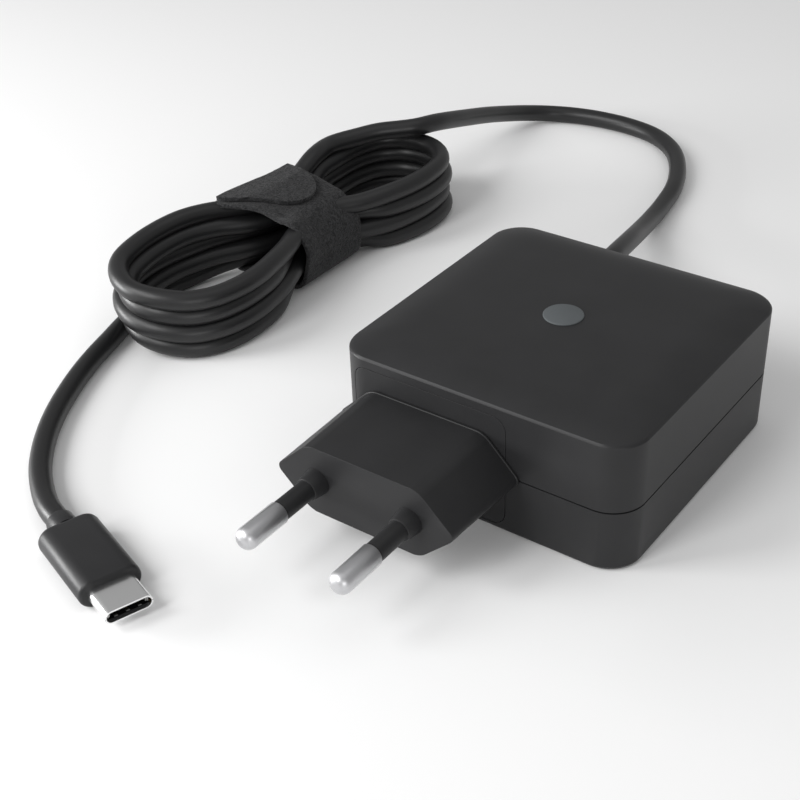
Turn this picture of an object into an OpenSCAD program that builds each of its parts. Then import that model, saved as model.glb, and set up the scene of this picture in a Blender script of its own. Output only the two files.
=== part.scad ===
// USB wall charger with a Europlug insert and a fixed USB-C output cord.
// Millimetres. +Z up, the bottom cover rests on z = 0, the mains pins point to -Y, the cord leaves at +Y.
// The origin is under the middle of the charger, measured from the pin tips to the rear wall.

/* [Body] */
// Width of the body, side to side
body_w = 57; // [50:0.5:64]
// Depth of the body, front wall to rear wall
body_d = 56.5; // [50:0.5:64]
// Height of the crisp edge that runs round the top
edge_h = 24.4; // [22:0.1:30]
// Rise of the crowned top above that edge
crown = 2; // [1:0.1:3]
// Height of the parting line between the two covers
seam_h = 12; // [10:0.5:14]
// Radius of the upright corners
corner_r = 6.2; // [4:0.1:9]
// Thickness of the cover walls
wall = 2; // [1.6:0.1:2.4]
// Diameter of the round badge on the top
badge_d = 7.2; // [6:0.2:12]

/* [Mains plug] */
// Middle of the plug insert, to the left of the body's middle
plug_x = -9.3; // [-10:0.1:-6]
// Length of the plug block in front of the front wall
block_len = 18.4; // [15:0.1:22]
// Width of the plate that holds the block
flange_w = 30.8; // [28:0.1:33]
// Height of the plate that holds the block
flange_h = 21.6; // [18:0.1:21.8]
// Distance between the pin axes
pin_pitch = 18.6; // [18:0.1:19.2]
// Diameter of the bare pin ends
pin_d = 4; // [3.9:0.05:4.1]
// Length of a pin outside the block
pin_len = 19; // [18:0.5:20]
// Length of the insulating sleeve, from the block
sleeve_len = 9.8; // [8:0.1:11]
// Diameter of the insulating sleeve
sleeve_d = 3.6; // [3.4:0.1:3.8]

/* [Cord] */
// Diameter of the output cord
cord_d = 4.2; // [3.8:0.1:4.4]
// Height from one turn of the hank to the next
turn_pitch = 3.7; // [3.5:0.05:4]
// Thickness of the hook-and-loop strap
strap_t = 1; // [0.8:0.1:1]
// Width of the strap along the hank
strap_w = 19.8; // [16:0.2:22]

/* [USB-C plug] */
// Width of the overmould
mould_w = 11; // [10:0.1:12]
// Height of the overmould
mould_h = 5.4; // [5:0.1:6]
// Length of the overmould
mould_len = 17.6; // [16:0.2:20]
// Direction of the plug, turned about Z from +X
mould_yaw = -19.5; // [-24:0.5:-15]
// Length of the bare shell in front of the overmould
shell_len = 6.6; // [6.2:0.1:7]

/* [Hidden] */
$fn = 48;

// a hair that keeps solids apart, or lets a cut run past a face
gap = 0.1;
cut = 1;

// colours
body_grey = "#3b3c3e";
plug_grey = "#37383a";
sleeve_black = "#2b2b2d";
cord_black = "#2a2b2d";
strap_black = "#303032";
metal = "#b9bcc0";
board_green = "#2c5a3c";
chip_black = "#232426";

// the charger along Y
depth_all = body_d + block_len + pin_len;
rear_y = depth_all / 2;
front_y = rear_y - body_d;
mid_y = (rear_y + front_y) / 2;
block_y = front_y - block_len;
inner_w = body_w - 2 * wall;
inner_d = body_d - 2 * wall;
ceiling_z = edge_h - wall;
groove = 0.3;
lip_h = 1.2;
lip_t = 0.9;

// mains plug block: half height, half length of the flat, half width of the six-sided outline
tip_hex = [6.6, 11.3, 18.1];
root_hex = [7.2, 11.5, 18.8];
hex_round = 1.5;
cavity_half = [13.4, 4.4];
block_front_t = 5.4;
shank_r = 1.3;
boss_len = 2.9;
boss_r = [2.5, 2.15];

// board and what stands on it
board_z = 4.4;
board_t = 1.6;
deck_z = board_z + board_t;
post_x = 21;
post_y = 21;
post_r = 2;

// the gland in the rear wall
gland_x = -15.5;
gland_end = rear_y + 13;
gland_hole_r = 3.6;

// cord: radius, height of a stretch that lies on the floor
cord_r = cord_d / 2;
lead_end_z = 12;

// route of the free lead, from inside the gland to where it settles on the hank
LEAD = [[-15.5, 44.5, 12], [-15.5, 52, 12], [-15.5, 60, 12], [-15.8, 65, 11.7], [-16.8, 70.5, 10.8],
        [-18.9, 79.5, 8.7], [-21.6, 89.3, 5.9], [-24.2, 99.8, 3.5], [-26.3, 110, 2.3],
        [-28.7, 121, 2.1], [-32.9, 131.3, 2.1], [-38.6, 139.8, 2.1], [-46.2, 145.5, 2.1],
        [-55, 147.9, 2.1], [-64, 148, 2.1], [-71.5, 146.6, 2.1], [-77.5, 143.3, 2.5],
        [-81, 137.5, 3.9], [-82.2, 129.5, 6.3], [-82, 120.2, 9.3], [-81.2, 110.5, 12.3],
        [-80.2, 101.5, 15.1], [-79.9, 94.5, 17], [-81.3, 88.5, 17.7], [-84.3, 85.6, 17.5],
        [-87.8, 82.4, 17.3], [-90.6, 78.2, 17]];

// route of the tail, from the hank to the collar of the plug
TAIL = [[-96.6, 8, 2.1], [-94.8, 1, 2.1], [-93.1, -4.2, 2.1], [-91.2, -10.2, 2.1], [-88.9, -16.2, 2.1],
        [-86.2, -22, 2.1], [-83.1, -27.8, 2.1], [-79.5, -33.4, 2.1], [-75.4, -38.6, 2.1],
        [-70.6, -43.5, 2.1], [-65.2, -47.6, 2.2], [-60.7, -50.2, 2.5], [-56.4, -51.8, 2.7],
        [-53.5, -52.9, 2.7]];

// middle line of one turn of the hank, as seen from above
TURN = [[-88, 45.2], [-90.5, 38], [-94.5, 31], [-97, 24.2], [-97.9, 17.2], [-97.2, 10.2], [-95.2, 4.4],
        [-91.4, 0.4], [-86.6, -1.3], [-81.1, -0.4], [-76.4, 2.6], [-73.2, 7], [-71.7, 12.6],
        [-71.6, 18.5], [-72.7, 24.8], [-75, 31], [-78.2, 38], [-80.4, 45.2], [-78.8, 52],
        [-75, 57.5], [-71.7, 62.8], [-69.7, 69.5], [-69.2, 76.4], [-70.5, 83.1], [-74.5, 88.1],
        [-80.2, 90.3], [-86.2, 89.4], [-90.9, 85.4], [-93.1, 78.9], [-93.2, 71], [-92.5, 64],
        [-91, 57.8], [-89, 51.6]];

// the turns lean in and out by this much in turn, and press into each other a little
turn_lean = 0.4;
near_h = 3 * turn_pitch + cord_d;
far_h = 4 * turn_pitch + cord_d;
ridge_x = -84.8;

// strap: its middle along the hank, and the outer outline of its section in X and Z
strap_y = 45.3;
STRAP = [[-94.3, 0], [-94.3, 17.6], [-87.5, 17.9], [-77.4, 15.6], [-73, 10.3], [-73, 3], [-75.6, 0]];
tab_lift = 0.2;
tab_t = 0.9;
tab_root_x = -92.5;
tab_end_x = -77;

// USB-C plug, worked out along its own axis with x forward from the rear of the overmould
mould_rear = [-53.4, -52.9, 0];
plug_z = mould_h / 2;
collar_len = 3.2;
collar_r = 2.6;
shell_w = 8.34;
shell_h = 2.56;
shell_t = 0.3;
shell_in = 7;
shell_x0 = mould_len - shell_in;
shell_x1 = mould_len + shell_len;
mouth_w = 6.6;
mouth_h = 1.3;
mouth_x0 = shell_x1 - 5.4;
liner_x1 = shell_x1 - 0.5;
latch_x0 = shell_x1 - 5;
latch_y = 3.3;
latch_t = 0.22;
latch_h = 0.7;
latch_len = 4.4;
latch_nose = 0.25;
can_w = 9;
can_h = 3.4;

// ---- helpers ----

// rectangle with round corners, middle on the origin
module round_rect(w, d, r) {
    square([w - 2 * r, d], center = true);
    square([w, d - 2 * r], center = true);
    for (x = [-1, 1], y = [-1, 1])
        translate([x * (w / 2 - r), y * (d / 2 - r)])
            circle(r);
}

// slab of the body's outline, drawn in by an inset, between two heights
module body_slab(inset, z0, z1) {
    r = max(corner_r - inset, 1);
    translate([0, mid_y, z0])
        linear_extrude(z1 - z0)
            round_rect(body_w - 2 * inset, body_d - 2 * inset, r);
}

// upright box from its lowest corner
module box(x, y, z, w, d, h) {
    translate([x, y, z])
        cube([w, d, h]);
}

// drawing in the XZ plane, pushed from y0 to y1
module push_y(y0, y1) {
    translate([0, y1, 0])
        rotate([90, 0, 0])
            linear_extrude(y1 - y0)
                children();
}

// round bar along Y
module bar_y(x, y0, y1, z, r) {
    translate([x, y1, z])
        rotate([90, 0, 0])
            cylinder(h = y1 - y0, r = r);
}

// the plate outline of the plug insert, in the XZ plane
module flange_outline(more) {
    translate([plug_x, seam_h])
        round_rect(flange_w + 2 * more, flange_h + 2 * more, 2.6 + more);
}

// the six-sided outline of the plug block, in the XZ plane
module hex_outline(hex) {
    h = hex[0];
    c = hex[1];
    w = hex[2];
    translate([plug_x, seam_h])
        offset(r = hex_round)
            offset(delta = -hex_round)
                polygon([[-w, 0], [-c, h], [c, h], [w, 0], [c, -h], [-c, -h]]);
}

// tube swept along a route, with one ring at each point
function unit(v) = v / norm(v);
function heading(p, i) = unit(p[min(i + 1, len(p) - 1)] - p[max(i - 1, 0)]);
function side_of(t) = unit(cross([0, 0, 1], t));
function ring(p, i, r, sides) =
    let (t = heading(p, i), s = side_of(t), u = cross(t, s))
    [for (k = [0:sides - 1]) p[i] + r * (cos(360 * k / sides) * s + sin(360 * k / sides) * u)];

module tube(path, r, sides = 8) {
    n = len(path);
    points = [for (i = [0:n - 1]) each ring(path, i, r, sides)];
    walls = [for (i = [0:n - 2], k = [0:sides - 1])
        [i * sides + k, (i + 1) * sides + k, (i + 1) * sides + (k + 1) % sides, i * sides + (k + 1) % sides]];
    first = [for (k = [0:sides - 1]) k];
    last = [for (k = [0:sides - 1]) n * sides - 1 - k];
    polyhedron(points, concat([first], walls, [last]), convexity = 8);
}

// ---- covers ----

module top_cover() {
    color(body_grey)
        difference() {
            union() {
                body_slab(0, seam_h, edge_h);
                crown_cap();
            }
            body_slab(wall, seam_h - cut, ceiling_z);
            body_slab(wall + 7, ceiling_z - cut, ceiling_z + crown - 0.2);
            // recess for the tongue of the bottom cover
            body_slab(wall - lip_t - gap, seam_h - cut, seam_h + lip_h + gap);
            push_y(front_y - cut, front_y + wall + cut) flange_outline(gap);
            bar_y(gland_x, rear_y - wall - cut, rear_y + cut, lead_end_z, gland_hole_r);
        }
    color(body_grey)
        for (x = [-1, 1], y = [-1, 1])
            translate([x * post_x, mid_y + y * post_y, deck_z])
                cylinder(h = ceiling_z - deck_z + gap, r = post_r);
}

// crowned top: slices that draw in as they rise
module crown_cap() {
    hull()
        for (s = [[0, 0], [0.3, 0.3], [2.6, 0.6 * crown], [5.6, 0.86 * crown], [9, crown]])
            translate([0, 0, edge_h + s[1] - 0.02])
                linear_extrude(0.02)
                    translate([0, mid_y])
                        round_rect(body_w - 2 * s[0], body_d - 2 * s[0], corner_r, $fn = 32);
}

module bottom_cover() {
    color(body_grey)
        difference() {
            union() {
                body_slab(0, 0, seam_h - groove);
                body_slab(groove, seam_h - groove, seam_h);
                body_slab(wall - lip_t, seam_h - cut, seam_h + lip_h);
            }
            body_slab(wall, wall, seam_h + cut + lip_h);
            push_y(front_y - cut, front_y + wall + cut) flange_outline(gap);
            bar_y(gland_x, rear_y - wall - cut, rear_y + cut, lead_end_z, gland_hole_r);
        }
    color(body_grey)
        for (x = [-1, 1], y = [-1, 1])
            translate([x * post_x, mid_y + y * post_y, wall - gap])
                cylinder(h = board_z - wall + gap, r = post_r);
}

module badge() {
    top = edge_h + crown;
    color("#74787a")
        translate([0, mid_y, top])
            cylinder(h = 0.25, r = badge_d / 2);
}

// ---- mains plug ----

module plug_insert() {
    color(plug_grey)
        difference() {
            union() {
                intersection() {
                    push_y(front_y, front_y + wall) flange_outline(0);
                    body_slab(0, 0, edge_h);
                }
                // ear behind the front wall, on the side away from the corner
                box(plug_x - 12, front_y + wall, seam_h - 8, flange_w / 2 + 13.4, 1.2, 16);
                // neck that joins the block to the plate
                push_y(front_y - 0.3, front_y + wall) hex_outline([7, 9, 14]);
                hull() {
                    push_y(front_y - 0.3, front_y - 0.15) hex_outline(root_hex);
                    push_y(block_y, block_y + 0.15) hex_outline(tip_hex);
                }
            }
            push_y(block_y + block_front_t, front_y + wall + 2)
                translate([plug_x, seam_h])
                    square(2 * cavity_half, center = true);
            for (s = [-1, 1])
                bar_y(plug_x + s * pin_pitch / 2, block_y - cut, front_y, seam_h, shank_r);
        }
    // bosses at the roots of the sleeves
    color(plug_grey)
        for (s = [-1, 1])
            difference() {
                translate([plug_x + s * pin_pitch / 2, block_y, seam_h])
                    rotate([90, 0, 0])
                        cylinder(h = boss_len, r1 = boss_r[0], r2 = boss_r[1]);
                bar_y(plug_x + s * pin_pitch / 2, block_y - boss_len - cut, block_y + cut, seam_h,
                      sleeve_d / 2);
            }
}

module pin(s) {
    x = plug_x + s * pin_pitch / 2;
    tip = block_y - pin_len;
    r = pin_d / 2;
    round_r = 1.7;
    color(metal) {
        bar_y(x, block_y - sleeve_len, block_y + block_front_t + 2.4, seam_h, shank_r);
        // collar that stops the pin inside the block
        bar_y(x, block_y + block_front_t, block_y + block_front_t + 0.9, seam_h, 1.9);
        bar_y(x, tip + round_r, block_y - sleeve_len, seam_h, r);
        // rounded tip
        translate([x, tip + round_r, seam_h])
            rotate([90, 0, 0])
                rotate_extrude()
                    intersection() {
                        square([r, round_r]);
                        union() {
                            translate([r - round_r, 0]) circle(round_r);
                            square([r - round_r, round_r]);
                        }
                    }
    }
}
module pin_left() { pin(-1); }
module pin_right() { pin(1); }

module pin_sleeve(s) {
    x = plug_x + s * pin_pitch / 2;
    color(sleeve_black)
        difference() {
            bar_y(x, block_y - sleeve_len, block_y, seam_h, sleeve_d / 2);
            bar_y(x, block_y - sleeve_len - cut, block_y + cut, seam_h, shank_r);
        }
}
module pin_sleeve_left() { pin_sleeve(-1); }
module pin_sleeve_right() { pin_sleeve(1); }

// strip from the end of a pin, back through the insert and down to the board
module contact_strip(s) {
    x = plug_x + s * pin_pitch / 2;
    y0 = block_y + block_front_t + 2.4;
    y1 = front_y + 6;
    color("#c8a45a") {
        box(x - 0.25, y0, seam_h - 1.5, 0.5, y1 - y0, 3);
        box(x - 0.25, y1 - 2.4, deck_z, 0.5, 2.4, seam_h - 1.5 - deck_z);
    }
}
module contact_strip_left() { contact_strip(-1); }
module contact_strip_right() { contact_strip(1); }

// ---- circuit ----

module main_board() {
    color(board_green)
        translate([0, mid_y + 0.6, board_z])
            linear_extrude(board_t)
                round_rect(inner_w - 1.6, inner_d - 4.8, 3.5);
}

module fuse() {
    color("#d8d2c0")
        translate([-14.5, front_y + 10.5, deck_z + 2.3])
            rotate([0, 90, 0])
                cylinder(h = 10, r = 2.1);
    color(metal)
        for (x = [-15.3, -4.5])
            translate([x, front_y + 10.5, deck_z + 2.3])
                rotate([0, 90, 0])
                    cylinder(h = 0.8, r = 2.3);
}

module varistor() {
    color("#2f5f9e") bar_y(9, front_y + 9, front_y + 12, deck_z + 4.6, 4.4);
}

module x_capacitor() {
    color("#c9b23a") box(-8.8, front_y + 15.2, deck_z, 13, 6, 11);
}

module y_capacitor() {
    color("#3a6ea5") bar_y(11, 33.2, 35.8, deck_z + 3.4, 3.2);
}

// toroid: a ring of ferrite, then two windings that wrap it and leave a gap between them
choke_at = [-17.4, front_y + 20];
module choke_ring(r0, r1, z0, z1) {
    translate([choke_at[0], choke_at[1], deck_z])
        rotate_extrude()
            translate([r0, z0])
                square([r1 - r0, z1 - z0]);
}

module choke_core() {
    color("#3c4a44") choke_ring(3.4, 6.2, 1.2, 6.4);
}

module choke_windings() {
    color("#b8682e")
        difference() {
            choke_ring(2.6, 7, 0.4, 7.2);
            choke_ring(3.4, 6.2, 1.2, 6.4);
            box(choke_at[0] - 1.4, choke_at[1] - 8, deck_z, 2.8, 16, 9);
        }
}

module bridge_rectifier() {
    color(chip_black) box(15.6, front_y + 9.6, deck_z, 9, 3.6, 8);
}

module bulk_capacitors() {
    for (x = [9.6, 20]) {
        color("#24344f") bar_y(x, 8, 29, deck_z + 5.2, 5);
        color(metal) bar_y(x, 29, 29.3, deck_z + 5.2, 4.6);
    }
}

module primary_heat_sink() {
    color(metal) box(-8, front_y + 24.2, deck_z, 11, 1.2, 12);
}

module switching_transistor() {
    color(chip_black) box(-5.4, front_y + 21.8, deck_z + 1.5, 8, 2.4, 8.5);
}

// transformer: two E halves round a bobbin that carries the winding
core_at = [-9.5, 27.2];
module transformer_core() {
    color("#4a4d50")
        translate([core_at[0], core_at[1], deck_z + 0.6])
            difference() {
                box(-10, -9, 0, 20, 18, 13);
                box(-7, -9 - cut, 2.6, 14, 18 + 2 * cut, 7.8);
            }
    color("#4a4d50")
        translate([core_at[0], core_at[1], deck_z + 0.6 + 2.6 - gap])
            cylinder(h = 7.8 + 2 * gap, r = 3);
}

module transformer_bobbin() {
    color("#26282a")
        translate([core_at[0], core_at[1], deck_z + 3.4])
            difference() {
                union() {
                    cylinder(h = 7.4, r = 3.9);
                    for (z = [0, 6.6])
                        translate([0, 0, z]) cylinder(h = 0.8, r = 6.7);
                }
                translate([0, 0, -cut]) cylinder(h = 7.4 + 2 * cut, r = 3.1);
            }
}

module transformer_winding() {
    color("#c48a3a")
        translate([core_at[0], core_at[1], deck_z + 4.3])
            difference() {
                cylinder(h = 5.6, r = 6.2);
                translate([0, 0, -cut]) cylinder(h = 5.6 + 2 * cut, r = 3.95);
            }
}

module controller_chip() {
    color(chip_black) box(-6, 14, board_z - 1.5, 5, 4, 1.5);
}

module optocoupler() {
    color(chip_black) box(1.6, 29.6, deck_z, 4.6, 6.4, 3.4);
}

module output_board() {
    color(board_green) box(-18.4, 41, deck_z, 20, 1.2, 13);
}

module sync_rectifier() {
    color(chip_black) box(-9, 40, deck_z + 7.4, 6, 1, 5);
}

module pd_chip() {
    color(chip_black) box(-6, 40.2, deck_z + 1.5, 4, 0.8, 4);
}

module output_capacitors() {
    for (x = [6.2, 14])
        color("#8f9498")
            translate([x, 39.6, deck_z])
                cylinder(h = 10, r = 3.4);
}

module insulation_sheet() {
    color("#d9cfa0") box(-18.4, 38.4, deck_z + 0.1, 20, 0.3, 14);
}

module heat_spreader() {
    color(metal) {
        box(-20, 2, 20.8, 40, 35, 0.8);
        box(-20.8, 20, 12, 0.8, 12, 9.6);
    }
}

module thermal_pad() {
    color("#9aa7b5") box(-16, 20, deck_z + 13.7, 13, 14, 20.7 - deck_z - 13.7);
}

module output_wires() {
    for (s = [[-1, "#a03030"], [1, "#202020"]])
        color(s[1]) bar_y(gland_x + 1.1 * s[0], 42.2, 44.5, lead_end_z, 0.9);
}

// ---- cord ----

module cord_gland() {
    z = lead_end_z;
    color(body_grey)
        difference() {
            union() {
                bar_y(gland_x, rear_y - wall - 1.3, rear_y - wall - 0.05, z, 5.2);
                bar_y(gland_x, rear_y - wall - 0.1, rear_y + 0.1, z, gland_hole_r - 0.05);
                bar_y(gland_x, rear_y + 0.05, rear_y + 1.6, z, 4.4);
                translate([gland_x, gland_end, z])
                    rotate([90, 0, 0])
                        cylinder(h = gland_end - rear_y - 1.5, r1 = 2.7, r2 = 3.6);
            }
            bar_y(gland_x, rear_y - wall - 2, gland_end + cut, z, cord_r);
            // flex slots
            for (i = [0:3])
                bend_slot(rear_y + 3.4 + 2.4 * i);
        }
}

// shallow ring cut into the sleeve of the gland
module bend_slot(y) {
    difference() {
        bar_y(gland_x, y, y + 0.9, lead_end_z, 4.2);
        bar_y(gland_x, y - cut, y + 0.9 + cut, lead_end_z, 2.55);
    }
}

module cord_lead() {
    color(cord_black) tube(LEAD, cord_r);
}

module cord_tail() {
    color(cord_black) tube(TAIL, cord_r);
}

module hank_outline() {
    offset(r = cord_r + turn_lean)
        polygon(TURN);
}

// all turns as one solid: four turns high, and five high along the far side
module cord_hank() {
    color(cord_black)
        difference() {
            union() {
                linear_extrude(near_h) hank_outline();
                linear_extrude(far_h)
                    intersection() {
                        hank_outline();
                        translate([ridge_x - 20, 3]) square([20, 81.5]);
                    }
            }
            difference() {
                strap_zone();
                push_y(strap_y - strap_w, strap_y + strap_w) strap_section(strap_t + 0.05);
            }
        }
}

// the stretch of the hank that the strap holds
module strap_zone() {
    box(-110, strap_y - strap_w / 2 - 0.05, -cut, 60, strap_w + 0.1, 30);
}

// section of the strap's outer face, drawn in by a wall
module strap_section(in) {
    offset(r = 2 - in)
        offset(delta = -2)
            polygon(STRAP);
}

// closed band round the waist of the hank
module strap_band() {
    push_y(strap_y - strap_w / 2, strap_y + strap_w / 2)
        difference() {
            strap_section(0);
            strap_section(strap_t);
        }
}

module cable_strap() {
    color(strap_black) strap_band();
}

// free end of the strap, pressed down on top of the band
module strap_tab() {
    fold = STRAP[2];
    top = fold[1] + tab_lift;
    fall = (STRAP[2][1] - STRAP[3][1]) / (STRAP[3][0] - STRAP[2][0]);
    end_top = top - fall * (tab_end_x - fold[0]);
    half = strap_w / 2 - 0.4;
    color(strap_black)
        intersection() {
            push_y(strap_y - half, strap_y + half)
                polygon([[tab_root_x, top], [fold[0], top], [tab_end_x, end_top],
                         [tab_end_x, end_top + tab_t], [fold[0], top + tab_t],
                         [tab_root_x, top + tab_t]]);
            translate([0, strap_y, 0])
                linear_extrude(30) {
                    translate([tab_end_x - half, 0]) circle(half, $fn = 64);
                    translate([tab_root_x - 1, -half]) square([tab_end_x - half - tab_root_x + 1, 2 * half]);
                }
        }
}

// ---- USB-C plug ----

// puts a piece that is drawn along the plug's own axis where the plug lies
module plug_place() {
    translate(mould_rear)
        rotate([0, 0, mould_yaw])
            children();
}

// flat bar with half-round sides, along the plug's axis
module oval_bar(w, h, x0, x1) {
    translate([x0, 0, plug_z])
        rotate([90, 0, 90])
            linear_extrude(x1 - x0)
                round_rect(w, h, h / 2 - 0.001);
}

module usb_overmould() {
    color(plug_grey)
        plug_place()
            difference() {
                union() {
                    oval_bar(mould_w, mould_h, 0.6, mould_len - 0.6);
                    oval_bar(mould_w - 0.8, mould_h - 0.8, 0, mould_len);
                }
                oval_bar(can_w, can_h, 3.4, shell_x0);
                oval_bar(shell_w, shell_h, shell_x0 - cut, mould_len + cut);
            }
}

module usb_collar() {
    color(plug_grey)
        plug_place()
            translate([0, 0, plug_z])
                rotate([0, -90, 0])
                    difference() {
                        cylinder(h = collar_len, r1 = collar_r, r2 = collar_r - 0.15);
                        translate([0, 0, -cut]) cylinder(h = collar_len + 2 * cut, r = cord_r);
                    }
}

module usb_shell() {
    color("#d4d6d8")
        plug_place()
            difference() {
                oval_bar(shell_w, shell_h, shell_x0, shell_x1);
                oval_bar(shell_w - 2 * shell_t, shell_h - 2 * shell_t, shell_x0 - cut, shell_x1 + cut);
            }
}

// black liner with the mouth that takes the socket's tongue, and side slots for the latches
module usb_insulator() {
    slot_w = 0.9;
    slot_mid = latch_y - 0.15 + slot_w / 2;
    slot_len = 10;
    color("#18191a")
        plug_place()
            difference() {
                oval_bar(shell_w - 2 * shell_t, shell_h - 2 * shell_t, shell_x0 + 0.5, liner_x1);
                box(mouth_x0, -mouth_w / 2, plug_z - mouth_h / 2, slot_len, mouth_w, mouth_h);
                for (s = [-1, 1])
                    translate([latch_x0 - 0.5 + slot_len / 2, s * slot_mid, plug_z])
                        cube([slot_len, slot_w, latch_h + 0.5], center = true);
            }
}

// twelve strips above and twelve below, in the liner's mouth
module usb_contacts() {
    strip_w = 0.24;
    strip_t = 0.12;
    color("#d9b25a")
        plug_place()
            for (i = [0:11], up = [-1, 1])
                box(mouth_x0 + 0.3, -2.87 + 0.5 * i, plug_z + up * (mouth_h / 2 - 0.06) - strip_t / 2,
                    3.2, strip_w, strip_t);
}

// three small ground springs near the mouth, above and below
module usb_ground_springs() {
    color("#9fa2a5")
        plug_place()
            for (y = [-2.05, 0, 2.05], up = [-1, 1])
                box(liner_x1 - 0.85, y - 0.3, plug_z + up * (mouth_h / 2 - 0.08) - 0.08, 0.7, 0.6, 0.16);
}

// springy side arm with a small nose that snaps into the socket, pivoting at its rear end
module usb_latch(s) {
    y_mid = s * (latch_y + latch_t / 2);
    nose_mid = s * (latch_y - latch_nose / 2 + 0.05);
    color("#b4b7ba")
        plug_place() {
            translate([latch_x0 + latch_len / 2, y_mid, plug_z])
                cube([latch_len, latch_t, latch_h], center = true);
            translate([latch_x0 + latch_len - 0.5, nose_mid, plug_z])
                cube([0.7, latch_nose + 0.1, latch_h], center = true);
        }
}
module usb_latch_left() { usb_latch(1); }
module usb_latch_right() { usb_latch(-1); }

module usb_board() {
    color(board_green)
        plug_place() box(5, -3.2, plug_z - 0.3, shell_x0 - 5.2, 6.4, 0.6);
}

// crimped can round the board, inside the overmould
module usb_back_shell() {
    color(metal)
        plug_place()
            difference() {
                oval_bar(can_w - 0.02, can_h - 0.02, 3.42, shell_x0 - 0.05);
                oval_bar(can_w - 0.6, can_h - 0.6, 3.9, shell_x0 + cut);
            }
}

top_cover();
bottom_cover();
badge();
plug_insert();
pin_left();
pin_right();
pin_sleeve_left();
pin_sleeve_right();
contact_strip_left();
contact_strip_right();
main_board();
fuse();
varistor();
x_capacitor();
y_capacitor();
choke_core();
choke_windings();
bridge_rectifier();
bulk_capacitors();
primary_heat_sink();
switching_transistor();
transformer_core();
transformer_bobbin();
transformer_winding();
controller_chip();
optocoupler();
output_board();
sync_rectifier();
pd_chip();
output_capacitors();
insulation_sheet();
heat_spreader();
thermal_pad();
output_wires();
cord_gland();
cord_lead();
cord_hank();
cord_tail();
cable_strap();
strap_tab();
usb_overmould();
usb_collar();
usb_shell();
usb_insulator();
usb_contacts();
usb_ground_springs();
usb_latch_left();
usb_latch_right();
usb_board();
usb_back_shell();
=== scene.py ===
# %% [markdown]
# # A wall charger with its cord in a hank
# The charger is a flat square box with a two-pin plug on its front, and a fixed output cord that ends in
# a USB-C plug. The mechanical model already holds every part at its real size and place. This lesson
# gives the parts their looks: smooth moulded covers, turned pins, one long cord laid in its hank, and a
# felt strap.

# %% Load the mechanical model
import math

import bmesh
import bpy
from mathutils import Matrix, Vector, noise


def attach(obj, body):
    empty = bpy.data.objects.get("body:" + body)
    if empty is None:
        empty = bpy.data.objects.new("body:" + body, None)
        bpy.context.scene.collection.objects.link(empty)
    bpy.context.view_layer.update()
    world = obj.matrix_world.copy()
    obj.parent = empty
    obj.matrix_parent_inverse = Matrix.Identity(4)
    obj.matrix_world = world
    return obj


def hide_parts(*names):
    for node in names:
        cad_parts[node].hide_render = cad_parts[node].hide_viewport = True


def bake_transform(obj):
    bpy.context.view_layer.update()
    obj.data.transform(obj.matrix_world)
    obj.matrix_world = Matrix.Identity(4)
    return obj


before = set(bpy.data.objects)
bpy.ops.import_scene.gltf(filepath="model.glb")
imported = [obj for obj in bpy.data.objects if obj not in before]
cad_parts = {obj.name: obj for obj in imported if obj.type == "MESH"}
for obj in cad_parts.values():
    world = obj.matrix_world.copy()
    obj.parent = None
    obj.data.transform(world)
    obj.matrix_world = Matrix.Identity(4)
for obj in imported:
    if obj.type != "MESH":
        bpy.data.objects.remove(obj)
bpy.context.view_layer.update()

MM = 0.001

# %% [markdown]
# ## Camera
# The camera stands in front of the pins, to the right, and looks down on the charger. It could be aimed
# with a Track To constraint, but a slight roll is wanted too, so its turn is given as three angles round
# the object, which are easier to read than a matrix.

# %% Camera
AZIMUTH = math.radians(37.25)
ELEVATION = math.radians(33.97)
ROLL = math.radians(-2.27)
CAMERA_AT = Vector((104.7, -166.8, 152.2)) * MM


def make_camera():
    back = Vector((math.sin(AZIMUTH) * math.cos(ELEVATION), -math.cos(AZIMUTH) * math.cos(ELEVATION),
                   math.sin(ELEVATION)))
    level = Vector((math.cos(AZIMUTH), math.sin(AZIMUTH), 0))
    right = level * math.cos(ROLL) + back.cross(level) * math.sin(ROLL)
    up = back.cross(right)
    camera = bpy.data.objects.new("camera", bpy.data.cameras.new("camera"))
    camera.matrix_world = Matrix.Translation(CAMERA_AT) @ Matrix((right, up, back)).transposed().to_4x4()
    camera.data.lens = 63.6
    camera.data.sensor_width = 36
    camera.data.clip_start = 0.01
    bpy.context.collection.objects.link(camera)
    bpy.context.scene.camera = camera
    return camera


print("camera:", make_camera().name)

# %% [markdown]
# ## Finishing a piece
# Every piece ends the same way: its mesh goes into an object at the origin, gets a material, and rides on
# a body of the mechanical model. A live Bevel modifier rounds the edges afterwards, because a rounded
# edge is what catches the light on a real moulding.

# %% Finished pieces
def finish(name, source, material, body="charger", stands_for=(), crease=35):
    """Puts a bmesh or a mesh into a new smooth-shaded piece. It rides on a body, if one is given."""
    mesh = source
    if isinstance(source, bmesh.types.BMesh):
        mesh = bpy.data.meshes.new(name)
        source.to_mesh(mesh)
        source.free()
    mesh.polygons.foreach_set("use_smooth", [True] * len(mesh.polygons))
    mesh.set_sharp_from_angle(angle=math.radians(crease))
    mesh.materials.clear()
    mesh.materials.append(material)
    piece = bpy.data.objects.new(name, mesh)
    bpy.context.collection.objects.link(piece)
    if body:
        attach(piece, body)
    if stands_for:
        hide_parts(*stands_for)
    return piece


def round_edges(piece, width, segments=2, angle=40):
    """A fine rounded edge wherever two faces meet at more than the angle."""
    bevel = piece.modifiers.new("round_edges", "BEVEL")
    bevel.width = width * MM
    bevel.segments = segments
    bevel.limit_method = "ANGLE"
    bevel.angle_limit = math.radians(angle)
    bevel.harden_normals = True
    return bevel


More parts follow.
